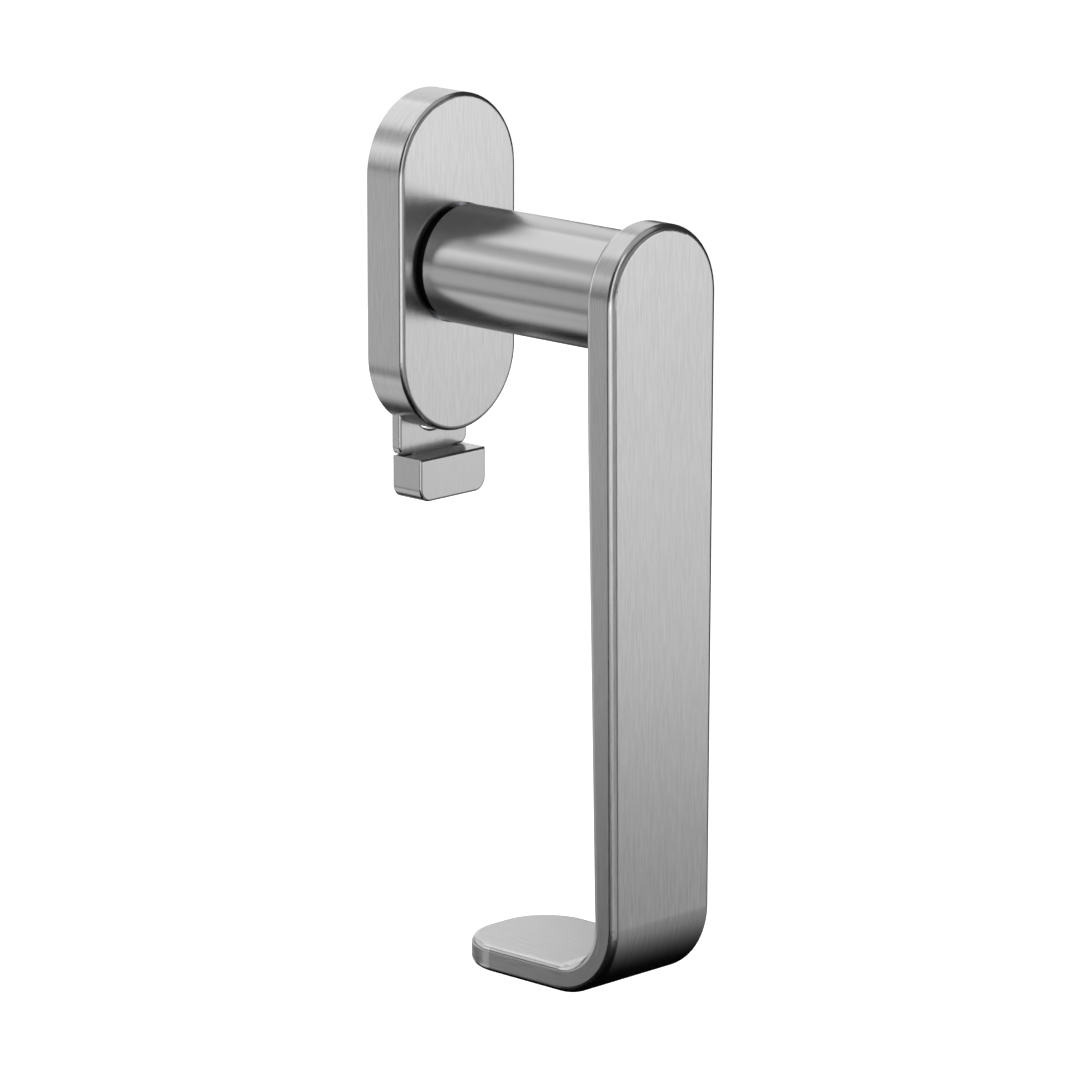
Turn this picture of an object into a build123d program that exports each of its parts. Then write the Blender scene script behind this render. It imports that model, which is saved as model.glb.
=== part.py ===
from build123d import *
import os
from math import acos, atan2, degrees, hypot, sqrt

# A window handle: a stadium-shaped rose, a round neck, a lever bent from one strip, and a sliding lock.
# Millimetres. X is to the right, Y goes into the window and Z is up. The origin is the turning axis on
# the mounting plane. A depth is measured from that plane towards the room, so a depth d is y = -d, and
# Plane.XZ.offset(d) is the plane at that depth.

# Rose
rose_width = 33.0
rose_height = 70.0
rose_depth = 10.3
rose_wall = 2.0
rose_front = 2.0
rose_edge = 1.0
rim_chamfer = 0.3

# Neck and lever
neck_radius = 12.3
neck_gap = 1.5
neck_edge = 0.25
lever_projection = 67.7
lever_width = 30.5
foot_width = 28.3
lever_thickness = 7.5
foot_thickness = 5.85
lever_drop = 143.3
bend_radius = 16.0
leg_end_depth = 20.5
leg_corner = 11.8
lever_front_edge = 1.5
lever_back_edge = 1.4
seat_margin = 1.0
seat_blend_radius = 1000.0
spigot_radius = 6.0
spigot_length = 4.0

# Fixing to the window
fixing_pitch = 43.0
boss_radius = 5.0
boss_reach = 5.0
screw_radius = 2.5
screw_shank_radius = 2.25
screw_head_radius = 4.6
screw_reach = 10.0
screw_socket = 3.0
screw_socket_depth = 1.8
spindle_side = 7.0
spindle_reach = 12.0
spindle_depth = 15.5
spindle_chamfer = 0.8
spindle_pin_radius = 0.8

# Turning bearing and detent
journal_radius = 9.0
stub_side = 10.4
stub_end_depth = 0.4
bush_wall = 1.5
collar_radius = 11.0
cam_side = 15.0
cam_corner_radius = 9.4
cam_thickness = 1.6
ring_thickness = 0.6
ring_width = 1.9
ring_groove = 0.7
ring_opening = 60.0
spring_thickness = 0.7
spring_half_length = 10.6
spring_room = 0.5
floor_thickness = 1.1
rivet_radius = 1.1
rivet_reach = 1.6
rivet_edge = 2.2
chamber_corner = 0.5
plate_corner = 1.5

# Sliding lock
slider_width = 19.4
slider_thickness = 2.3
slider_back = 0.35
slider_corner = 1.8
slider_edge = 0.5
slot_width = 11.0
slot_below_rose = 0.9
lug_width = 2.0
lug_height = 4.0
tongue_width = 12.0
tongue_length = 6.0
grip_width = 18.9
grip_height = 9.0
grip_thickness = 8.0
grip_drop = 5.2
grip_corner = 2.8
grip_edge = 0.5
grip_pin_radius = 1.0
grip_pin_length = 5.0
grip_pin_spacing = 7.0
lock_spring_thickness = 0.4
lock_spring_width = 1.8
lock_spring_half_length = 4.0
lock_spring_bow = 2.5
lock_spring_below_lug = 6.0
lock_notch_depth = 0.45

# Grub screw of the cover
grub_radius = 1.5
grub_length = 3.8
grub_recess = 0.2
grub_socket = 1.5
grub_socket_depth = 1.6

# Clearances
run_gap = 0.3
running_fit = 0.05
axial_gap = 0.05
seat_fit = 0.02
socket_fit = 0.05
base_fit = 0.15
cover_gap = 0.2
cover_fit = 0.1
lock_gap = 0.6
raise_gap = 0.4
stop_gap = 0.05

# Levels of the inner stack, as depths from the mounting plane
slider_front = slider_back + slider_thickness
channel_depth = slider_front + run_gap
chamber_floor = channel_depth + floor_thickness
ring_back = chamber_floor + 2 * axial_gap
cam_back = ring_back + ring_thickness + axial_gap
base_top = cam_back + cam_thickness + 2 * axial_gap
cover_inside = rose_depth - rose_front
plate_top = cover_inside - cover_gap
shoulder_depth = rose_depth + neck_gap
collar_top = shoulder_depth - axial_gap

# Lever
lever_inside = lever_projection - lever_thickness
leg_top = -lever_drop + foot_thickness
foot_inside = lever_projection - foot_thickness
blend_length = seat_blend_radius * (lever_thickness - foot_thickness) / lever_drop
seat_end = -neck_radius - seat_margin - blend_length
top_radius = lever_width / 2
foot_half = foot_width / 2
taper = atan2(lever_drop, foot_half) - acos(top_radius / hypot(foot_half, lever_drop))

with BuildPart() as lever:
    # Front outline: a round top with sides that run in a little towards the foot
    with BuildSketch(Plane.XZ.offset(leg_end_depth)):
        with BuildLine():
            top_arc = CenterArc((0, 0), top_radius, -degrees(taper), 180 + 2 * degrees(taper))
            Polyline(top_arc @ 1, (-foot_half, -lever_drop), (foot_half, -lever_drop), top_arc @ 0)
        make_face()
    extrude(amount=lever_projection - leg_end_depth)
    # Side profile: flat behind the neck, thinner towards the bend, then the leg
    with BuildSketch(Plane.YZ) as lever_profile:
        with BuildLine():
            Polyline(
                (-lever_projection, top_radius),
                (-lever_projection, -lever_drop),
                (-leg_end_depth, -lever_drop),
                (-leg_end_depth, leg_top),
                (-foot_inside, leg_top),
                (-lever_inside, seat_end),
                (-lever_inside, top_radius),
                close=True,
            )
        make_face()
        for corner, radius in (
            ((-lever_projection, -lever_drop), bend_radius),
            ((-foot_inside, leg_top), bend_radius - foot_thickness),
            ((-lever_inside, seat_end), seat_blend_radius),
        ):
            fillet(lever_profile.vertices().sort_by_distance(corner)[0], radius)
    extrude(amount=lever_width, both=True, mode=Mode.INTERSECT)
    leg_end_edges = lever.faces().sort_by(Axis.Y)[-1].edges().sort_by(Axis.X)
    fillet([leg_end_edges[0], leg_end_edges[-1]], leg_corner)
    front_rim = lever.faces().sort_by(Axis.Y)[0].edges().sort_by(Axis.Z)[-1]
    fillet(front_rim, lever_front_edge)
    back_rim = lever.edges().filter_by(GeomType.CIRCLE).sort_by_distance((0, -lever_inside, top_radius))[0]
    fillet(back_rim, lever_back_edge)
    # Blind seat for the neck's spigot
    with BuildSketch(Plane.XZ.offset(lever_inside)):
        Circle(spigot_radius + seat_fit)
    extrude(amount=spigot_length + seat_fit, mode=Mode.SUBTRACT)

# Neck: a turned bar whose end stands off the rose on the bush's collar, with a journal, and a square stub
# that the lock can grip
stub_corner_radius = stub_side / sqrt(2)
groove_radius = stub_corner_radius - ring_groove
pin_depth = (base_top + shoulder_depth) / 2

with BuildPart() as neck:
    with BuildSketch(Plane.XZ.offset(shoulder_depth)):
        Circle(neck_radius)
    extrude(amount=lever_inside - shoulder_depth)
    fillet(neck.faces().sort_by(Axis.Y)[-1].edges(), neck_edge)
    with BuildSketch(Plane.XZ.offset(lever_inside)):
        Circle(spigot_radius)
    extrude(amount=spigot_length)
    with BuildSketch(Plane.XZ.offset(base_top)):
        Circle(journal_radius)
    extrude(amount=shoulder_depth - base_top)
    with BuildSketch(Plane.XZ.offset(stub_end_depth)):
        Rectangle(stub_side, stub_side)
    extrude(amount=base_top - stub_end_depth)
    with BuildSketch(Plane.XZ.offset(ring_back)):
        Circle(stub_side)
        Circle(groove_radius, mode=Mode.SUBTRACT)
    extrude(amount=ring_thickness + axial_gap, mode=Mode.SUBTRACT)
    with BuildSketch(Plane.XZ.offset(stub_end_depth)):
        Rectangle(spindle_side + 2 * socket_fit, spindle_side + 2 * socket_fit)
    extrude(amount=spindle_depth + axial_gap - stub_end_depth, mode=Mode.SUBTRACT)
    with BuildSketch(Plane.YZ):
        with Locations((-pin_depth, 0)):
            Circle(spindle_pin_radius + seat_fit)
    extrude(amount=journal_radius, both=True, mode=Mode.SUBTRACT)

with BuildPart() as spindle:
    with BuildSketch(Plane.XZ.offset(-spindle_reach)):
        Rectangle(spindle_side, spindle_side)
    extrude(amount=spindle_reach + spindle_depth)
    chamfer(spindle.faces().sort_by(Axis.Y)[-1].edges(), spindle_chamfer)
    with BuildSketch(Plane.YZ):
        with Locations((-pin_depth, 0)):
            Circle(spindle_pin_radius + seat_fit)
    extrude(amount=spindle_side, both=True, mode=Mode.SUBTRACT)

with BuildPart() as spindle_pin:
    with BuildSketch(Plane.YZ):
        with Locations((-pin_depth, 0)):
            Circle(spindle_pin_radius)
    extrude(amount=journal_radius - run_gap, both=True)

with BuildPart() as detent_cam:
    with BuildSketch(Plane.XZ.offset(cam_back)):
        Rectangle(cam_side, cam_side)
        Circle(cam_corner_radius, mode=Mode.INTERSECT)
        Rectangle(stub_side + 2 * socket_fit, stub_side + 2 * socket_fit, mode=Mode.SUBTRACT)
    extrude(amount=cam_thickness)

with BuildPart() as retaining_ring:
    with BuildSketch(Plane.XZ.offset(ring_back)):
        Circle(groove_radius + socket_fit + ring_width)
        Circle(groove_radius + socket_fit, mode=Mode.SUBTRACT)
        with BuildLine():
            ring_cut = CenterArc((0, 0), 2 * stub_side, 90 - ring_opening / 2, ring_opening)
            Polyline(ring_cut @ 1, (0, 0), ring_cut @ 0)
        make_face(mode=Mode.SUBTRACT)
    extrude(amount=ring_thickness)

# Lock slider: a fork whose slot straddles the lower boss and, pushed up, the flats of the neck's stub
slot_half = slot_width / 2
slider_bottom = -rose_height / 2 - grip_drop
slot_end = -rose_height / 2 - slot_below_rose
prong_tip = -sqrt((stub_corner_radius + lock_gap) ** 2 - slot_half ** 2)
lug_bottom = prong_tip - lug_height
lug_half = slider_width / 2 + lug_width
slide_travel = grip_drop - raise_gap
notch_z = lug_bottom - lock_spring_below_lug
spring_tip = slider_width / 2 - lock_notch_depth + seat_fit
lock_bow_radius = (lock_spring_half_length ** 2 + lock_spring_bow ** 2) / (2 * lock_spring_bow)
lock_bow_centre = spring_tip + lock_bow_radius + lock_spring_thickness / 2
grip_pin_z = slider_bottom - tongue_length / 2

with BuildPart() as lock_slider:
    with BuildSketch(Plane.XZ.offset(slider_back)) as slider_outline:
        with Locations((0, slider_bottom)):
            Rectangle(slider_width, prong_tip - slider_bottom, align=(Align.CENTER, Align.MIN))
        fillet(slider_outline.vertices().group_by(Axis.Y)[0], slider_corner)
        with Locations((0, lug_bottom)):
            Rectangle(2 * lug_half, lug_height, align=(Align.CENTER, Align.MIN))
        with Locations((0, slot_end + slot_half)):
            Circle(slot_half, mode=Mode.SUBTRACT)
            Rectangle(slot_width, rose_height, align=(Align.CENTER, Align.MIN), mode=Mode.SUBTRACT)
        with Locations((0, slider_bottom)):
            Rectangle(tongue_width, tongue_length, align=(Align.CENTER, Align.MAX))
        with Locations((lock_bow_centre, notch_z), (lock_bow_centre, notch_z - slide_travel)):
            Circle(lock_bow_radius + lock_spring_thickness / 2 + seat_fit, mode=Mode.SUBTRACT)
    extrude(amount=slider_thickness)
    fillet(lock_slider.faces().sort_by(Axis.Y)[0].edges(), slider_edge)
    with BuildSketch(Plane.XZ.offset(slider_back)):
        with Locations((0, grip_pin_z)):
            with GridLocations(grip_pin_spacing, 1, 2, 1):
                Circle(grip_pin_radius + seat_fit)
    extrude(amount=slider_thickness, mode=Mode.SUBTRACT)

with BuildPart() as lock_grip:
    with BuildSketch(Plane.XZ.offset(slider_back)) as grip_outline:
        with Locations((0, slider_bottom - stop_gap)):
            Rectangle(grip_width, grip_height, align=(Align.CENTER, Align.MAX))
        fillet(grip_outline.vertices().group_by(Axis.Y)[0], grip_corner)
    extrude(amount=grip_thickness)
    fillet(lock_grip.faces().sort_by(Axis.Y)[0].edges(), grip_edge)
    # Groove in the back for the slider's tongue
    with BuildSketch(Plane.XZ.offset(slider_back)):
        with Locations((0, slider_bottom - tongue_length - stop_gap)):
            Rectangle(
                tongue_width + 2 * socket_fit, tongue_length + grip_height, align=(Align.CENTER, Align.MIN)
            )
    extrude(amount=slider_thickness + socket_fit, mode=Mode.SUBTRACT)
    with BuildSketch(Plane.XZ.offset(slider_back)):
        with Locations((0, grip_pin_z)):
            with GridLocations(grip_pin_spacing, 1, 2, 1):
                Circle(grip_pin_radius + seat_fit)
    extrude(amount=grip_pin_length + seat_fit, mode=Mode.SUBTRACT)

with BuildPart() as grip_pins:
    with BuildSketch(Plane.XZ.offset(slider_back)):
        with Locations((0, grip_pin_z)):
            with GridLocations(grip_pin_spacing, 1, 2, 1):
                Circle(grip_pin_radius)
    extrude(amount=grip_pin_length)

# Rose cover: a hollow stadium that slides off along the neck
grub_depth = (channel_depth + base_top) / 2
grub_end = -rose_height / 2 + grub_recess + grub_length

with BuildPart() as rose_cover:
    with BuildSketch(Plane.XZ):
        SlotOverall(rose_height, rose_width, rotation=90)
    extrude(amount=rose_depth)
    fillet(rose_cover.faces().sort_by(Axis.Y)[0].edges(), rose_edge)
    chamfer(rose_cover.faces().sort_by(Axis.Y)[-1].edges(), rim_chamfer)
    with BuildSketch(Plane.XZ):
        SlotOverall(rose_height - 2 * rose_wall, rose_width - 2 * rose_wall, rotation=90)
    extrude(amount=cover_inside, mode=Mode.SUBTRACT)
    with BuildSketch(Plane.XZ.offset(cover_inside)):
        Circle(neck_radius + cover_fit)
    extrude(amount=rose_front, mode=Mode.SUBTRACT)
    # Notch in the lower wall for the lock slider
    with BuildSketch(Plane.XZ):
        with Locations((0, -rose_height / 2)):
            Rectangle(slider_width + 2 * run_gap, rose_width)
    extrude(amount=channel_depth, mode=Mode.SUBTRACT)
    with BuildSketch(Plane.XY.offset(-rose_height / 2 - rose_wall)):
        with Locations((0, -grub_depth)):
            Circle(grub_radius + seat_fit)
    extrude(amount=3 * rose_wall, mode=Mode.SUBTRACT)

# Rose base: die-cast, with the detent chamber in front and the slide channel behind
base_width = rose_width - 2 * rose_wall - 2 * base_fit
base_height = rose_height - 2 * rose_wall - 2 * base_fit
chamber_half_width = cam_corner_radius + spring_thickness + spring_room
chamber_half_height = spring_half_length + run_gap
rivet_x = journal_radius
rivet_z = chamber_half_height + rivet_edge
rivet_back = base_top - rivet_reach

with BuildPart() as rose_base:
    with BuildSketch(Plane.XZ):
        SlotOverall(base_height, base_width, rotation=90)
    extrude(amount=base_top)
    with BuildSketch(Plane.XZ.offset(chamber_floor)):
        RectangleRounded(2 * chamber_half_width, 2 * chamber_half_height, chamber_corner)
    extrude(amount=base_top - chamber_floor, mode=Mode.SUBTRACT)
    with BuildSketch(Plane.XZ):
        Circle(stub_corner_radius + lock_gap)
        with Locations((0, lug_bottom - stop_gap)):
            Rectangle(slider_width + 2 * run_gap, rose_height, align=(Align.CENTER, Align.MAX))
            Rectangle(
                2 * lug_half + 2 * run_gap,
                lug_height + slide_travel + run_gap,
                align=(Align.CENTER, Align.MIN),
            )
        # Pocket of the lock spring beside the channel
        with Locations((slider_width / 2, notch_z)):
            Rectangle(
                lock_spring_bow + lock_spring_thickness,
                2 * (lock_spring_half_length + lock_spring_thickness),
                align=(Align.MIN, Align.CENTER),
            )
    extrude(amount=channel_depth, mode=Mode.SUBTRACT)
    with BuildSketch(Plane.XZ):
        Circle(stub_corner_radius + lock_gap)
    extrude(amount=chamber_floor, mode=Mode.SUBTRACT)
    with BuildSketch(Plane.XZ.offset(-boss_reach)):
        with GridLocations(1, fixing_pitch, 1, 2):
            Circle(boss_radius)
    extrude(amount=boss_reach + channel_depth)
    with Locations(Plane.XZ.offset(base_top)):
        with GridLocations(1, fixing_pitch, 1, 2):
            CounterSinkHole(screw_radius + seat_fit, screw_head_radius + seat_fit, counter_sink_angle=90)
    with BuildSketch(Plane.XZ.offset(rivet_back)):
        with GridLocations(2 * rivet_x, 2 * rivet_z, 2, 2):
            Circle(rivet_radius + seat_fit)
    extrude(amount=rivet_reach, mode=Mode.SUBTRACT)
    with BuildSketch(Plane.XY.offset(-rose_height / 2)):
        with Locations((0, -grub_depth)):
            Circle(grub_radius + seat_fit)
    extrude(amount=grub_recess + grub_length + seat_fit, mode=Mode.SUBTRACT)

with BuildPart() as bearing_plate:
    with BuildSketch(Plane.XZ.offset(base_top)):
        RectangleRounded(2 * (chamber_half_width + rivet_edge), 2 * (rivet_z + rivet_edge), plate_corner)
        Circle(journal_radius + running_fit + bush_wall + seat_fit, mode=Mode.SUBTRACT)
        with GridLocations(2 * rivet_x, 2 * rivet_z, 2, 2):
            Circle(rivet_radius + seat_fit, mode=Mode.SUBTRACT)
    extrude(amount=plate_top - base_top)

with BuildPart() as plate_rivets:
    with BuildSketch(Plane.XZ.offset(rivet_back)):
        with GridLocations(2 * rivet_x, 2 * rivet_z, 2, 2):
            Circle(rivet_radius)
    extrude(amount=rivet_reach + plate_top - base_top)

with BuildPart() as neck_bush:
    with BuildSketch(Plane.XZ.offset(base_top)):
        Circle(journal_radius + running_fit + bush_wall)
    extrude(amount=plate_top - base_top)
    with BuildSketch(Plane.XZ.offset(plate_top)):
        Circle(collar_radius)
    extrude(amount=collar_top - plate_top)
    with BuildSketch(Plane.XZ.offset(base_top)):
        Circle(journal_radius + running_fit)
    extrude(amount=collar_top - base_top, mode=Mode.SUBTRACT)

with BuildPart() as cover_grub_screw:
    with BuildSketch(Plane.XY.offset(grub_end)):
        with Locations((0, -grub_depth)):
            Circle(grub_radius)
    extrude(amount=-grub_length)
    with BuildSketch(Plane.XY.offset(grub_end - grub_length)):
        with Locations((0, -grub_depth)):
            RegularPolygon(grub_socket / 2, 6, major_radius=False)
    extrude(amount=grub_socket_depth, mode=Mode.SUBTRACT)

with BuildPart() as lock_spring:
    with BuildSketch(Plane.XZ.offset(slider_back + (slider_thickness - lock_spring_width) / 2)):
        with Locations((lock_bow_centre, notch_z)):
            Circle(lock_bow_radius + lock_spring_thickness / 2)
            Circle(lock_bow_radius - lock_spring_thickness / 2, mode=Mode.SUBTRACT)
        with Locations((spring_tip, notch_z)):
            Rectangle(
                lock_spring_bow,
                2 * lock_spring_half_length,
                align=(Align.MIN, Align.CENTER),
                mode=Mode.INTERSECT,
            )
    extrude(amount=lock_spring_width)

pieces = {
    "lever": lever,
    "neck": neck,
    "spindle": spindle,
    "spindle_pin": spindle_pin,
    "detent_cam": detent_cam,
    "retaining_ring": retaining_ring,
    "lock_slider": lock_slider,
    "lock_grip": lock_grip,
    "grip_pins": grip_pins,
    "rose_cover": rose_cover,
    "rose_base": rose_base,
    "bearing_plate": bearing_plate,
    "plate_rivets": plate_rivets,
    "neck_bush": neck_bush,
    "cover_grub_screw": cover_grub_screw,
    "lock_spring": lock_spring,
}

# Leaf springs of the detent: each is bowed towards the cam, with its ends against the chamber's wall
leaf_tip = cam_side / 2 + stop_gap
leaf_bow = chamber_half_width - seat_fit - spring_thickness - leaf_tip
leaf_radius = (spring_half_length ** 2 + leaf_bow ** 2) / (2 * leaf_bow)
leaf_angle = degrees(atan2(spring_half_length, leaf_radius - leaf_bow))

for node, side, facing in (("detent_spring_left", -1, 0), ("detent_spring_right", 1, 180)):
    leaf_centre = (side * (leaf_tip + leaf_radius), 0)
    leaf_start = facing - leaf_angle
    with BuildPart() as detent_spring:
        with BuildSketch(Plane.XZ.offset(cam_back)):
            with BuildLine():
                near = CenterArc(leaf_centre, leaf_radius, leaf_start, 2 * leaf_angle)
                far = CenterArc(leaf_centre, leaf_radius - spring_thickness, leaf_start, 2 * leaf_angle)
                Line(near @ 0, far @ 0)
                Line(near @ 1, far @ 1)
            make_face()
        extrude(amount=cam_thickness)
    pieces[node] = detent_spring

# Countersunk fixing screws: a plain shank through the boss, with the thread behind it
head_height = screw_head_radius - screw_shank_radius
for node, height in (("upper_fixing_screw", fixing_pitch / 2), ("lower_fixing_screw", -fixing_pitch / 2)):
    with BuildPart() as fixing_screw:
        with BuildSketch(Plane.XZ.offset(-screw_reach)):
            with Locations((0, height)):
                Circle(screw_radius)
        extrude(amount=screw_reach - boss_reach)
        with BuildSketch(Plane.XZ.offset(-boss_reach)):
            with Locations((0, height)):
                Circle(screw_shank_radius)
        extrude(amount=boss_reach + base_top)
        with BuildSketch(Plane.XZ.offset(base_top)):
            with Locations((0, height)):
                Circle(screw_head_radius)
        extrude(amount=-head_height, taper=45)
        with BuildSketch(Plane.XZ.offset(base_top)):
            with Locations((0, height)):
                RegularPolygon(screw_socket / 2, 6, major_radius=False)
        extrude(amount=-screw_socket_depth, mode=Mode.SUBTRACT)
    pieces[node] = fixing_screw

os.makedirs("parts", exist_ok=True)
for node, piece in pieces.items():
    piece.part.label = node
    export_step(piece.part, f"parts/{node}.step")
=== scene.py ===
import math

import bpy
from mathutils import Matrix, Vector


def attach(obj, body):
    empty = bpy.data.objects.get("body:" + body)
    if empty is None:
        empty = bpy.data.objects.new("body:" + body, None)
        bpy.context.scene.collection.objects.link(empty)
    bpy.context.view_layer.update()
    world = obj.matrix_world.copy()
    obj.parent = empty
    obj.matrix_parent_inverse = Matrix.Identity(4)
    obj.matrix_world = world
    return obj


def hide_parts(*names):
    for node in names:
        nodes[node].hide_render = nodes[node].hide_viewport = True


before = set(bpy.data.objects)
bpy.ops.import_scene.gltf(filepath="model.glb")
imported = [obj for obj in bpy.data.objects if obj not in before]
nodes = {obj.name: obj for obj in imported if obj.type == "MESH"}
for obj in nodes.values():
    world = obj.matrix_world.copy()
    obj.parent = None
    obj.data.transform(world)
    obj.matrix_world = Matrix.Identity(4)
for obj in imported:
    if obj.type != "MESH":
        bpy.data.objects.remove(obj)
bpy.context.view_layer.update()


# Rose base: the plate that sits flat on the window, die-cast in zinc, with two bosses behind and the detent
# chamber in front. It is left as cast, so its skin is dull grey and a little uneven.
def new_material(name, metallic, roughness):
    material = bpy.data.materials.new(name)
    material.use_nodes = True
    shader = material.node_tree.nodes["Principled BSDF"]
    shader.inputs["Metallic"].default_value = metallic
    shader.inputs["Roughness"].default_value = roughness
    return material


def set_inputs(tree, node, inputs):
    # An input goes by its name or, as i0, i1 and so on, by its number. A socket is linked to it, and anything
    # else becomes its own value.
    for name, value in inputs.items():
        socket = node.inputs[int(name[1:]) if name[1:].isdigit() else name.replace("_", " ")]
        if isinstance(value, bpy.types.NodeSocket):
            tree.links.new(value, socket)
        else:
            socket.default_value = value


def add_node(tree, kind, **inputs):
    node = tree.nodes.new(kind)
    set_inputs(tree, node, inputs)
    return node


def add_operation(tree, kind, operation, values):
    node = add_node(tree, kind, **{f"i{i}": value for i, value in enumerate(values)})
    node.operation = operation
    return node.outputs


def add_math(tree, operation, *values):
    return add_operation(tree, "ShaderNodeMath", operation, values)["Value"]


# Where a Mix node keeps its two inputs and its output for each kind of value
MIX_SOCKETS = {"FLOAT": ("i2", "i3", 0), "VECTOR": ("i4", "i5", 1), "RGBA": ("i6", "i7", 2)}


def add_mix(tree, kind, factor, first, second):
    first_input, second_input, output = MIX_SOCKETS[kind]
    node = add_node(tree, "ShaderNodeMix", **{"i0": factor, first_input: first, second_input: second})
    node.data_type = kind
    return node.outputs[output]


def value_range(tree, value, low, high):
    return add_node(tree, "ShaderNodeMapRange", Value=value, To_Min=low, To_Max=high).outputs["Result"]


def finish_with(material, names):
    for name in names:
        nodes[name].data.materials.clear()
        nodes[name].data.materials.append(material)


def surface_group(name, inputs, outputs):
    group = bpy.data.node_groups.new(name, "ShaderNodeTree")
    for socket, kind, value in inputs:
        made = group.interface.new_socket(socket, in_out="INPUT", socket_type=kind)
        if value is not None:
            made.default_value = value
    for socket in outputs:
        group.interface.new_socket(socket, in_out="OUTPUT", socket_type="NodeSocketFloat")
    return group, group.nodes.new("NodeGroupInput").outputs, group.nodes.new("NodeGroupOutput").inputs


def use_group(tree, group, **inputs):
    node = tree.nodes.new("ShaderNodeGroup")
    node.node_tree = group
    set_inputs(tree, node, inputs)
    return node.outputs


# Mottle: slow patches and a fine tooth, as cast, plated and moulded skins have
mottle, mottle_in, mottle_out = surface_group(
    "mottle",
    [("Patch Size", "NodeSocketFloat", 0.004), ("Tooth Size", "NodeSocketFloat", 0.0004)],
    ["Patches", "Tooth"],
)
place = mottle.nodes.new("ShaderNodeTexCoord").outputs["Object"]
for size, detail, output in (("Patch Size", 3.0, "Patches"), ("Tooth Size", 2.0, "Tooth")):
    scale = add_math(mottle, "DIVIDE", 1.0, mottle_in[size])
    noise = add_node(mottle, "ShaderNodeTexNoise", Vector=place, Scale=scale, Detail=detail)
    mottle.links.new(noise.outputs["Fac"], mottle_out[output])


def mottled(name, light, dark, metallic, roughness, patch_size, tooth_size, tooth_depth):
    material = new_material(name, metallic, roughness[0])
    tree = material.node_tree
    shader = tree.nodes["Principled BSDF"]
    skin = use_group(tree, mottle, Patch_Size=patch_size, Tooth_Size=tooth_size)
    tree.links.new(add_mix(tree, "RGBA", skin["Patches"], dark, light), shader.inputs["Base Color"])
    tree.links.new(value_range(tree, skin["Patches"], *roughness), shader.inputs["Roughness"])
    bump = add_node(tree, "ShaderNodeBump", Height=skin["Tooth"], Distance=tooth_depth)
    tree.links.new(bump.outputs["Normal"], shader.inputs["Normal"])
    return material


cast_zinc = mottled(
    "cast_zinc",
    light=(0.40, 0.41, 0.43, 1),
    dark=(0.27, 0.28, 0.30, 1),
    metallic=1.0,
    roughness=(0.42, 0.62),
    patch_size=0.003,
    tooth_size=0.0005,
    tooth_depth=0.00004,
)
finish_with(cast_zinc, ["rose_base"])


# Bearing plate, rivets, pins and grub screw: steel stampings and turned bits with a thin bright zinc plating,
# which is faintly blue and clouded.
plated_steel = mottled(
    "plated_steel",
    light=(0.62, 0.64, 0.67, 1),
    dark=(0.48, 0.50, 0.54, 1),
    metallic=1.0,
    roughness=(0.24, 0.38),
    patch_size=0.002,
    tooth_size=0.0002,
    tooth_depth=0.000004,
)
finish_with(plated_steel, ["bearing_plate", "plate_rivets", "cover_grub_screw", "spindle_pin", "grip_pins"])


# Springs, detent cam and retaining ring: hardened strip, blanked and tempered to a dark straw grey. The
# springs are bowed into pockets of the base, and the cam and the ring sit on the neck's stub.
spring_steel = mottled(
    "spring_steel",
    light=(0.34, 0.33, 0.31, 1),
    dark=(0.20, 0.19, 0.19, 1),
    metallic=1.0,
    roughness=(0.28, 0.42),
    patch_size=0.0015,
    tooth_size=0.0002,
    tooth_depth=0.000004,
)
finish_with(
    spring_steel, ["detent_spring_left", "detent_spring_right", "lock_spring", "detent_cam", "retaining_ring"]
)


# Neck bush: a flanged ring moulded in black plastic, in which the neck turns. It sits in the bearing plate,
# and its collar carries the neck a little off the rose.
bush_plastic = mottled(
    "bush_plastic",
    light=(0.012, 0.012, 0.013, 1),
    dark=(0.006, 0.006, 0.007, 1),
    metallic=0.0,
    roughness=(0.60, 0.75),
    patch_size=0.002,
    tooth_size=0.0003,
    tooth_depth=0.00001,
)
bush_plastic.node_tree.nodes["Principled BSDF"].inputs["Specular IOR Level"].default_value = 0.2
finish_with(bush_plastic, ["neck_bush"])


# Spindle: a square bar of drawn and plated steel that drives the gear in the window. It sits in the neck's
# socket and is held there by a cross pin.
drawn_steel = mottled(
    "drawn_steel",
    light=(0.58, 0.59, 0.61, 1),
    dark=(0.44, 0.45, 0.48, 1),
    metallic=1.0,
    roughness=(0.26, 0.40),
    patch_size=0.0025,
    tooth_size=0.0003,
    tooth_depth=0.000006,
)
finish_with(drawn_steel, ["spindle"])


# Fixing screws: two countersunk socket screws in plated steel. Each has a plain shank through its boss and a
# rolled thread behind it.
SCREW_HEIGHTS = {"upper_fixing_screw": 0.0215, "lower_fixing_screw": -0.0215}
HEAD_DEPTH = 0.0065
HEAD_RADIUS = 0.0046
HEAD_EDGE_WIDTH = 0.0002
HEAD_EDGE_DEPTH = 0.0001
SOCKET_SIDE = 0.003
SOCKET_DEPTH = 0.0018
SHANK_RADIUS = 0.00225
THREAD_RADIUS = 0.0025
THREAD_DEPTH = 0.00045
THREAD_PITCH = 0.0008
THREAD_START = 0.005
THREAD_RUN_IN = 0.0002
THREAD_END = 0.010
THREAD_END_SHARE = 0.25
FLANK_SLOPE = 2.2
ROOT_FLAT = 0.1
RING_POINTS = 48
STEPS_PER_TURN = 10
SHARP_ANGLE = math.radians(35)


def ring_of_points(radii, y, height):
    angles = [2 * math.pi * i / RING_POINTS for i in range(RING_POINTS)]
    return [(r * math.cos(angle), y, height + r * math.sin(angle)) for r, angle in zip(radii, angles)]


def plain_ring(radius, y, height):
    return ring_of_points([radius] * RING_POINTS, y, height)


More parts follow.
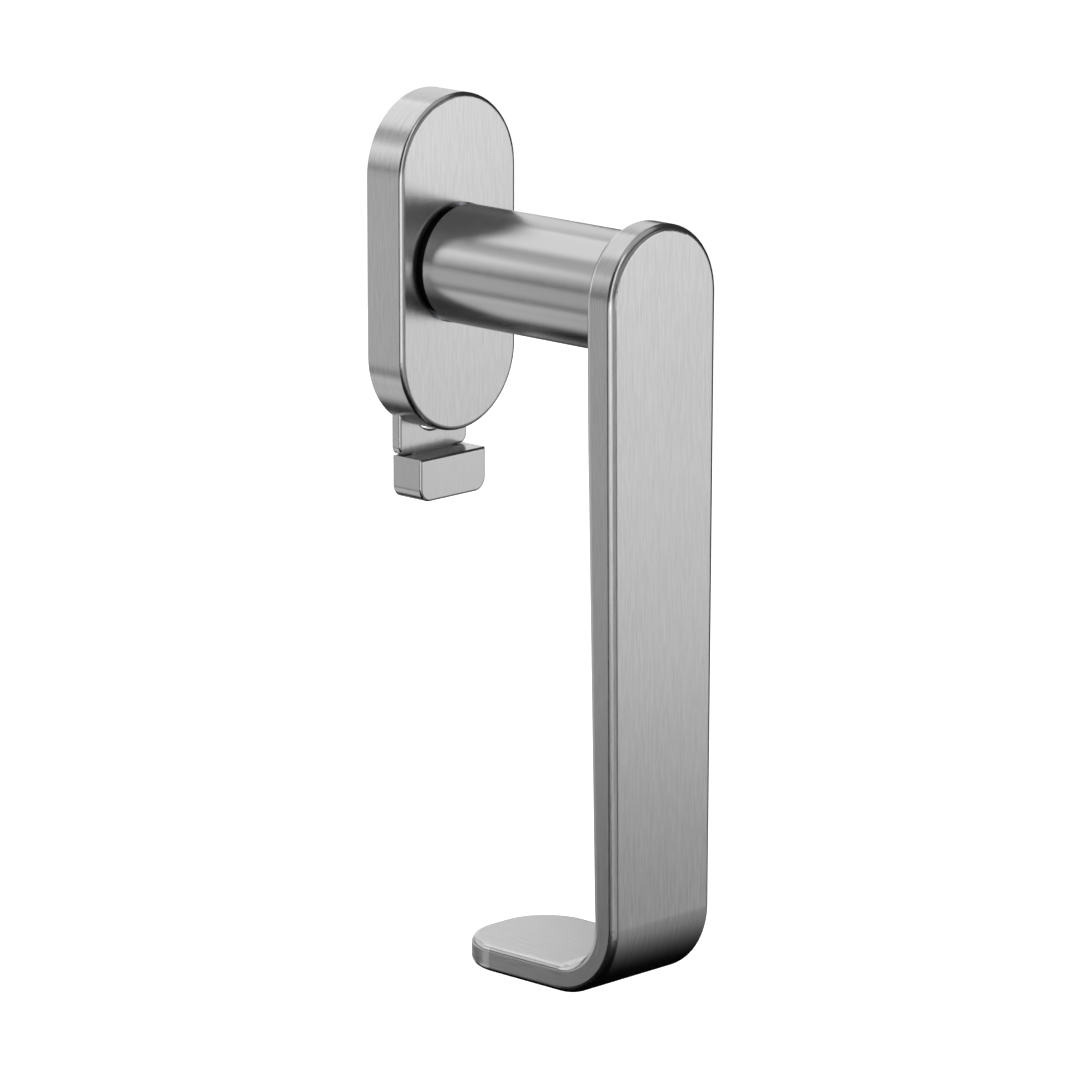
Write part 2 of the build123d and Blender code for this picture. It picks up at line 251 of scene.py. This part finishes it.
def thread_ring(y, height):
    # One section of the helical thread, faded out at both ends
    fade = min(1.0, (y - THREAD_START) / THREAD_PITCH, (THREAD_END - y) / THREAD_PITCH + THREAD_END_SHARE)
    radii = []
    for i in range(RING_POINTS):
        phase = (y / THREAD_PITCH - i / RING_POINTS) % 1.0
        ridge = min(1.0, max(0.0, FLANK_SLOPE * (0.5 - abs(phase - 0.5)) - ROOT_FLAT))
        radii.append(THREAD_RADIUS - THREAD_DEPTH * (1 - ridge * max(0.0, fade)))
    return ring_of_points(radii, y, height)


def socket_ring(y, height):
    # The hexagon of the socket, with as many points as the rings around it
    radii = []
    for i in range(RING_POINTS):
        aside = (2 * math.pi * i / RING_POINTS + math.pi / 6) % (math.pi / 3) - math.pi / 6
        radii.append(SOCKET_SIDE / 2 / math.cos(aside))
    return ring_of_points(radii, y, height)


def skin_of_rings(name, rings):
    # A closed skin over a row of rings
    points = [point for ring in rings for point in ring]
    faces = [tuple(range(RING_POINTS))]
    for ring in range(len(rings) - 1):
        first = ring * RING_POINTS
        second = first + RING_POINTS
        for i in range(RING_POINTS):
            after = (i + 1) % RING_POINTS
            faces.append((first + i, second + i, second + after, first + after))
    faces.append(tuple(reversed(range(len(points) - RING_POINTS, len(points)))))
    mesh = bpy.data.meshes.new(name)
    mesh.from_pydata(points, [], faces)
    mesh.validate()
    mesh.shade_smooth()
    mesh.set_sharp_from_angle(angle=SHARP_ANGLE)
    piece = bpy.data.objects.new(name, mesh)
    bpy.context.scene.collection.objects.link(piece)
    return piece


for node, height in SCREW_HEIGHTS.items():
    rings = [
        socket_ring(-HEAD_DEPTH + SOCKET_DEPTH, height),
        socket_ring(-HEAD_DEPTH, height),
        plain_ring(HEAD_RADIUS - HEAD_EDGE_WIDTH, -HEAD_DEPTH, height),
        plain_ring(HEAD_RADIUS, -HEAD_DEPTH + HEAD_EDGE_DEPTH, height),
        plain_ring(SHANK_RADIUS, -HEAD_DEPTH + HEAD_RADIUS - SHANK_RADIUS, height),
        plain_ring(SHANK_RADIUS, THREAD_START - THREAD_RUN_IN, height),
    ]
    steps = round((THREAD_END - THREAD_START) / THREAD_PITCH * STEPS_PER_TURN)
    for step in range(steps + 1):
        rings.append(thread_ring(THREAD_START + (THREAD_END - THREAD_START) * step / steps, height))
    screw = skin_of_rings(node + "_threaded", rings)
    screw.data.materials.append(plated_steel)
    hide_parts(node)
    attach(screw, "rose")


# Rose cover: a hollow stadium of stainless steel, its front brushed lengthwise and its wall brushed round the
# outline. It slides over the neck and is held by a grub screw from below.
STEEL_LIGHT = (0.755, 0.755, 0.755, 1)
STEEL_DARK = (0.635, 0.635, 0.635, 1)
SATIN_ROUGHNESS = (0.20, 0.26)
STREAK_WIDTH = 0.00028
STREAK_LENGTH = 0.0045
DRIFTS_PER_METRE = 60.0
DRIFT_SHARE = 0.5
EDGE_FACING = 0.6
BROAD_FACING = 0.8


def add_vector_math(tree, operation, *values):
    return add_operation(tree, "ShaderNodeVectorMath", operation, values)


def share_between(tree, value, low, high):
    # 0 at the low value and below, 1 at the high value and above
    return add_node(tree, "ShaderNodeMapRange", Value=value, From_Min=low, From_Max=high).outputs["Result"]


# Brushed grain: on broad faces the streaks run along the third axis, and on edges they run round the outline
brushed_grain, grain_in, grain_out = surface_group(
    "brushed_grain",
    [
        ("Vector", "NodeSocketVector", None),
        ("Facing", "NodeSocketFloat", 1.0),
        ("Streak Width", "NodeSocketFloat", STREAK_WIDTH),
        ("Streak Length", "NodeSocketFloat", STREAK_LENGTH),
    ],
    ["Grain", "Drift"],
)
fine = add_math(brushed_grain, "DIVIDE", 1.0, grain_in["Streak Width"])
coarse = add_math(brushed_grain, "DIVIDE", 1.0, grain_in["Streak Length"])
streaks = []
for across, through in ((coarse, fine), (fine, coarse)):
    stretch = add_node(brushed_grain, "ShaderNodeCombineXYZ", X=across, Y=through, Z=coarse).outputs["Vector"]
    stretched = add_vector_math(brushed_grain, "MULTIPLY", grain_in["Vector"], stretch)["Vector"]
    noise = add_node(brushed_grain, "ShaderNodeTexNoise", Vector=stretched, Scale=1.0, Detail=2.0)
    streaks.append(noise.outputs["Fac"])
chosen = add_mix(brushed_grain, "FLOAT", grain_in["Facing"], *streaks)
brushed_grain.links.new(chosen, grain_out["Grain"])
drift = add_node(
    brushed_grain, "ShaderNodeTexNoise", Vector=grain_in["Vector"], Scale=DRIFTS_PER_METRE, Detail=2.0
)
brushed_grain.links.new(drift.outputs["Fac"], grain_out["Drift"])


def satin_steel(name):
    # A blank satin material, with its node tree and the place on the piece
    material = new_material(name, metallic=1.0, roughness=sum(SATIN_ROUGHNESS) / 2)
    return material, material.node_tree, material.node_tree.nodes.new("ShaderNodeTexCoord").outputs["Object"]


def satin_finish(material, vector, facing, tone, depth):
    # Brushed grain in the colour, the roughness and the relief of a satin steel
    tree = material.node_tree
    shader = tree.nodes["Principled BSDF"]
    grain = use_group(tree, brushed_grain, Vector=vector, Facing=facing)
    contrast = value_range(tree, grain["Grain"], 0.5 - tone, 0.5 + tone)
    tree.links.new(add_mix(tree, "RGBA", contrast, STEEL_DARK, STEEL_LIGHT), shader.inputs["Base Color"])
    uneven = add_math(tree, "ADD", add_math(tree, "MULTIPLY", grain["Drift"], DRIFT_SHARE), grain["Grain"])
    tree.links.new(value_range(tree, uneven, *SATIN_ROUGHNESS), shader.inputs["Roughness"])
    bump = add_node(tree, "ShaderNodeBump", Height=grain["Grain"], Distance=depth)
    tree.links.new(bump.outputs["Normal"], shader.inputs["Normal"])


def facing_of(tree, axis):
    # 1 where the surface faces along the axis, 0 where it is square to it
    normal = tree.nodes.new("ShaderNodeTexCoord").outputs["Normal"]
    along = add_vector_math(tree, "DOT_PRODUCT", normal, axis)["Value"]
    return share_between(tree, add_math(tree, "ABSOLUTE", along), EDGE_FACING, BROAD_FACING)


satin_rose, rose_tree, rose_place = satin_steel("satin_rose")
satin_finish(satin_rose, rose_place, facing_of(rose_tree, (0, 1, 0)), tone=1.0, depth=0.000001)
finish_with(satin_rose, ["rose_cover"])


# Lock slider and grip: a forked stainless plate that slides behind the rose, and the small block that a thumb
# pushes, pinned on its end. Both are brushed like the rose.
satin_lock, lock_tree, lock_place = satin_steel("satin_lock")
satin_finish(satin_lock, lock_place, facing_of(lock_tree, (0, 1, 0)), tone=0.6, depth=0.0000005)
finish_with(satin_lock, ["lock_slider", "lock_grip"])


# Neck: a turned stainless bar, polished round its axis until the turning marks hardly show. It turns in the
# bush and carries the lever on its spigot.
satin_neck, neck_tree, neck_place = satin_steel("satin_neck")
satin_finish(satin_neck, neck_place, facing=0.0, tone=0.3, depth=0.0000002)
finish_with(satin_neck, ["neck"])


# Lever: one stainless strip, bent at the foot and brushed along its length, so that the grain follows the
# bend into the leg. It sits on the neck's spigot.
BEND_MIDDLE_Y = -0.0517
BEND_MIDDLE_Z = -0.1273
BEND_RADIUS = 0.016
# Cosines of the angle between mesh and true bend where the true one starts to count and where it counts fully
BEND_STARTS = 0.99
BEND_COUNTS = 0.998

satin_lever, lever_tree, lever_place = satin_steel("satin_lever")
lever_axes = add_node(lever_tree, "ShaderNodeSeparateXYZ", Vector=lever_place).outputs
outward = add_math(lever_tree, "SUBTRACT", BEND_MIDDLE_Y, lever_axes["Y"])
downward = add_math(lever_tree, "SUBTRACT", BEND_MIDDLE_Z, lever_axes["Z"])
out_part = add_math(lever_tree, "MAXIMUM", outward, 0.0)
down_part = add_math(lever_tree, "MAXIMUM", downward, 0.0)
through_strip = add_node(lever_tree, "ShaderNodeCombineXYZ", Y=out_part, Z=down_part).outputs["Vector"]
depth_in_strip = add_vector_math(lever_tree, "LENGTH", through_strip)["Value"]
bend_angle = add_math(lever_tree, "ARCTAN2", down_part, out_part)
round_bend = add_math(lever_tree, "MULTIPLY", bend_angle, BEND_RADIUS)
along_leg = add_math(lever_tree, "SUBTRACT", out_part, outward)
along_front = add_math(lever_tree, "SUBTRACT", downward, down_part)
along_strip = add_math(lever_tree, "ADD", along_front, add_math(lever_tree, "ADD", round_bend, along_leg))
strip_place = add_node(
    lever_tree, "ShaderNodeCombineXYZ", X=lever_axes["X"], Y=depth_in_strip, Z=along_strip
).outputs["Vector"]
strip_normal = add_vector_math(lever_tree, "NORMALIZE", through_strip)["Vector"]
satin_finish(satin_lever, strip_place, facing_of(lever_tree, strip_normal), tone=1.0, depth=0.000001)
# The mesh goes round the bend in narrow flats, so on the strip's outside the shading follows the true bend
outer_normal = add_vector_math(lever_tree, "MULTIPLY", strip_normal, (-1, -1, -1))["Vector"]
mesh_normal = lever_tree.nodes.new("ShaderNodeTexCoord").outputs["Normal"]
alike = add_vector_math(lever_tree, "DOT_PRODUCT", mesh_normal, outer_normal)["Value"]
on_outside = share_between(lever_tree, alike, BEND_STARTS, BEND_COUNTS)
bend_normal = add_mix(lever_tree, "VECTOR", on_outside, mesh_normal, outer_normal)
world_normal = add_node(lever_tree, "ShaderNodeVectorTransform", Vector=bend_normal)
world_normal.vector_type = "NORMAL"
world_normal.convert_from = "OBJECT"
world_normal.convert_to = "WORLD"
lever_tree.links.new(world_normal.outputs["Vector"], lever_tree.nodes["Bump"].inputs["Normal"])
finish_with(satin_lever, ["lever"])


# Floor: a wide sheet of pale card well below the handle. It is white to the eye and in the metal, and it
# keeps a soft shadow.
FLOOR_HEIGHT = -0.36
FLOOR_HALF_SIDE = 15.0
WHITE = (1, 1, 1, 1)


def glowing_sheet(name, colour):
    # A dull material with a white glow, whose strength is linked later
    material = new_material(name, metallic=0.0, roughness=0.9)
    shader = material.node_tree.nodes["Principled BSDF"]
    shader.inputs["Base Color"].default_value = colour
    shader.inputs["Specular IOR Level"].default_value = 0.0
    shader.inputs["Emission Color"].default_value = WHITE
    return material, material.node_tree, shader.inputs["Emission Strength"]


white_floor, floor_tree, floor_glow = glowing_sheet("white_floor", (0.9, 0.9, 0.9, 1))
light_path = floor_tree.nodes.new("ShaderNodeLightPath").outputs
seen = add_math(floor_tree, "MAXIMUM", light_path["Is Camera Ray"], light_path["Is Glossy Ray"])
seen = add_math(floor_tree, "MAXIMUM", seen, light_path["Is Transmission Ray"])
floor_tree.links.new(seen, floor_glow)
floor_mesh = bpy.data.meshes.new("floor")
floor_corners = [
    (side_x * FLOOR_HALF_SIDE, side_y * FLOOR_HALF_SIDE, FLOOR_HEIGHT)
    for side_x, side_y in ((-1, -1), (1, -1), (1, 1), (-1, 1))
]
floor_mesh.from_pydata(floor_corners, [], [(0, 1, 2, 3)])
floor_mesh.materials.append(white_floor)
sheet = bpy.data.objects.new("floor", floor_mesh)
bpy.context.scene.collection.objects.link(sheet)


# Painted reflection: a glowing sheet just over the floor that only the metal sees, dark under the handle as
# painted shade. Four pale patches of painted light lie on it round the handle and four spots nearer to it,
# all with soft edges.
PAINTED_REFLECTION_HEIGHT = FLOOR_HEIGHT + 0.005
PAINTED_REFLECTION_RINGS = [0.05 * i for i in range(21)] + [1.1, 1.2, 1.3, 1.4, 1.6, 1.8, 2.0, 3.0, 15.0]
PAINTED_REFLECTION_STEP = 5
# Patches of painted light: azimuth of the middle, half the angle, distance of the near edge, softness of that
# edge, brightness
PAINTED_LIGHT_PATCHES = {
    "left": (-70, 33, 1.10, 0.15, 1.00),
    "right": (44, 12, 0.98, 0.45, 0.92),
    "back": (-175, 48, 0.80, 0.50, 0.62),
    "front": (-25, 35, 0.50, 0.20, 0.38),
}
PATCH_SIDE_SOFTNESS = 20
# Spots of painted light nearer to the handle: middle, radius, brightness
PAINTED_LIGHT_SPOTS = {
    "back_left": (-0.32, 0.43, 0.11, 0.80),
    "back_right": (0.23, 0.48, 0.11, 0.90),
    "back": (-0.15, 0.34, 0.115, 0.65),
    "right": (0.58, -0.42, 0.37, 0.28),
}


def smooth_step(share):
    share = min(1.0, max(0.0, share))
    return share * share * (3 - 2 * share)


def painted_reflection_light(azimuth, radius, x, y):
    # The brightest patch of painted light, and over it each spot of painted light that is brighter. A spot
    # fades from half to one and a half times its radius.
    light = 0.0
    for middle, half_angle, near_edge, softness, brightness in PAINTED_LIGHT_PATCHES.values():
        aside = abs((azimuth - middle + 180) % 360 - 180)
        cover = smooth_step((half_angle - aside) / PATCH_SIDE_SOFTNESS + 0.5)
        cover *= smooth_step((radius - near_edge) / softness + 0.5)
        light = max(light, brightness * cover)
    for spot_x, spot_y, spot_radius, brightness in PAINTED_LIGHT_SPOTS.values():
        cover = smooth_step(1.5 - math.hypot(x - spot_x, y - spot_y) / spot_radius)
        light += cover * max(0.0, brightness - light)
    return light


points = []
lights = []
faces = []
azimuths = range(-180, 180, PAINTED_REFLECTION_STEP)
for radius in PAINTED_REFLECTION_RINGS:
    for azimuth in azimuths:
        x = radius * math.sin(math.radians(azimuth))
        y = -radius * math.cos(math.radians(azimuth))
        points.append((x, y, PAINTED_REFLECTION_HEIGHT))
        lights.append(painted_reflection_light(azimuth, radius, x, y))
for ring in range(len(PAINTED_REFLECTION_RINGS) - 1):
    first = ring * len(azimuths)
    second = first + len(azimuths)
    for i in range(len(azimuths)):
        after = (i + 1) % len(azimuths)
        faces.append((first + i, first + after, second + after, second + i))
painted_reflection_mesh = bpy.data.meshes.new("painted_reflection_floor")
painted_reflection_mesh.from_pydata(points, [], faces)
painted_reflection_mesh.attributes.new("light", "FLOAT", "POINT").data.foreach_set("value", lights)
# The sheet's glow is painted light and shade. It is hidden from the camera, from shadows and from diffuse
# light, so only the metal's reflections show it.
painted_reflection_sheet, painted_reflection_tree, painted_reflection_glow = glowing_sheet("painted_reflection_sheet", (0, 0, 0, 1))
painted_reflection_map = painted_reflection_tree.nodes.new("ShaderNodeAttribute")
painted_reflection_map.attribute_name = "light"
painted_reflection_tree.links.new(painted_reflection_map.outputs["Fac"], painted_reflection_glow)
painted_reflection_mesh.materials.append(painted_reflection_sheet)
painted_reflection_floor = bpy.data.objects.new("painted_reflection_floor", painted_reflection_mesh)
bpy.context.scene.collection.objects.link(painted_reflection_floor)
painted_reflection_floor.visible_camera = False
painted_reflection_floor.visible_shadow = False
painted_reflection_floor.visible_diffuse = False
painted_reflection_floor.visible_transmission = False


# Studio light: soft boxes at the left, in front, overhead and behind, a low strip at the right and a faint
# even light.
LOOK_AT = Vector((0.0, -0.03, -0.05))
BOX_DISTANCE = 1.6
# Azimuth, elevation, half width and half height in degrees as seen from the handle, brightness
SOFT_BOXES = {
    "left_box": (-69, 26, 10.5, 38, 1.10),
    "front_box": (-5, 27, 45, 15, 0.24),
    "low_strip": (23, -1, 23, 6, 0.90),
    "top_box": (0, 90, 33, 33, 0.40),
    "back_right_box": (145, 16, 12.5, 27, 0.80),
    "back_top_box": (-178, 43, 19, 11, 1.02),
    "back_left_box": (-142, 25, 5.5, 20, 0.58),
    "back_low_box": (-167, 17, 32, 12.5, 0.76),
}
EVEN_LIGHT = 0.03


def view_axes(azimuth, elevation):
    # Right, up and back of something that looks at the handle from that side
    turn = math.radians(azimuth)
    rise = math.radians(elevation)
    back = Vector((math.sin(turn) * math.cos(rise), -math.cos(turn) * math.cos(rise), math.sin(rise)))
    right = Vector((math.cos(turn), math.sin(turn), 0))
    return right, back.cross(right), back


def placed(position, right, up, back):
    return Matrix.Translation(position) @ Matrix((right, up, back)).transposed().to_4x4()


for name, (azimuth, elevation, half_width, half_height, brightness) in SOFT_BOXES.items():
    right, up, back = view_axes(azimuth, elevation)
    lamp = bpy.data.lights.new(name, "AREA")
    lamp.shape = "RECTANGLE"
    lamp.size = 2 * BOX_DISTANCE * math.tan(math.radians(half_width))
    lamp.size_y = 2 * BOX_DISTANCE * math.tan(math.radians(half_height))
    lamp.energy = brightness * math.pi * lamp.size * lamp.size_y
    box = bpy.data.objects.new(name, lamp)
    box.matrix_world = placed(LOOK_AT + back * BOX_DISTANCE, right, up, back)
    box.visible_camera = False
    bpy.context.scene.collection.objects.link(box)

world = bpy.data.worlds.new("studio")
world.use_nodes = True
world.node_tree.nodes["Background"].inputs["Color"].default_value = WHITE
world.node_tree.nodes["Background"].inputs["Strength"].default_value = EVEN_LIGHT
bpy.context.scene.world = world
bpy.context.scene.view_settings.view_transform = "Standard"


# Camera: it stands at the left of the handle and a little above it, and looks through a long lens, so that
# the handle's long edges stay nearly parallel.
CAMERA_AZIMUTH = -45.852
CAMERA_ELEVATION = 13.184
CAMERA_DISTANCE = 1.42774
CAMERA_ASIDE = 0.023771
CAMERA_UP = -0.058246
CAMERA_LENS = 232.34
SENSOR_WIDTH = 36
FARTHEST_SEEN = 100

right, up, back = view_axes(CAMERA_AZIMUTH, CAMERA_ELEVATION)
camera = bpy.data.objects.new("camera", bpy.data.cameras.new("camera"))
camera.data.lens = CAMERA_LENS
camera.data.sensor_width = SENSOR_WIDTH
camera.data.clip_end = FARTHEST_SEEN
camera_place = back * CAMERA_DISTANCE + right * CAMERA_ASIDE + up * CAMERA_UP
camera.matrix_world = placed(camera_place, right, up, back)
bpy.context.scene.collection.objects.link(camera)
bpy.context.scene.camera = camera
